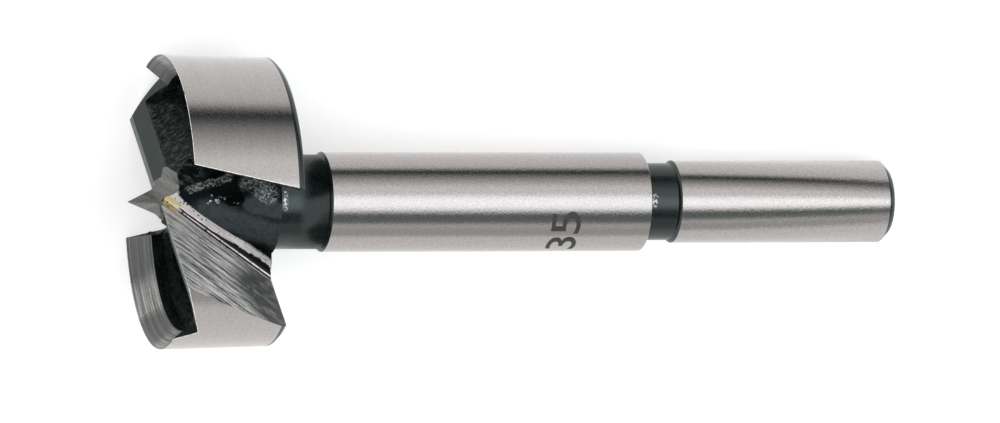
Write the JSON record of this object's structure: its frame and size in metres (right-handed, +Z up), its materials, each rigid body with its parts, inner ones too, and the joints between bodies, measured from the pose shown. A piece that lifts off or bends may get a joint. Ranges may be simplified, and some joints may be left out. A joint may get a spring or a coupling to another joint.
{
  "type": "forstner bit",
  "caption": "Wood boring bit with a rimmed cutting head, two ground lips and a centre point, on a stepped round shank, lying on its side.",
  "frame": {"origin": "centre of the outline seen from above, on the surface the bit lies on", "axes": "+X from the cutting head towards the shank end, +Z up; the bit's own axis drops 7.6 degrees towards the shank end"},
  "size_m": [0.0948, 0.035, 0.0339],
  "materials": {
    "ground_steel": "ground steel, fine lines",
    "black_oxide": "black oxide left from forging and heat treatment, partly rough",
    "size_mark": "dark printed mark"
  },
  "bodies": {
    "root": {"forstner_bit": "ground_steel"}
  },
  "joints": []
}
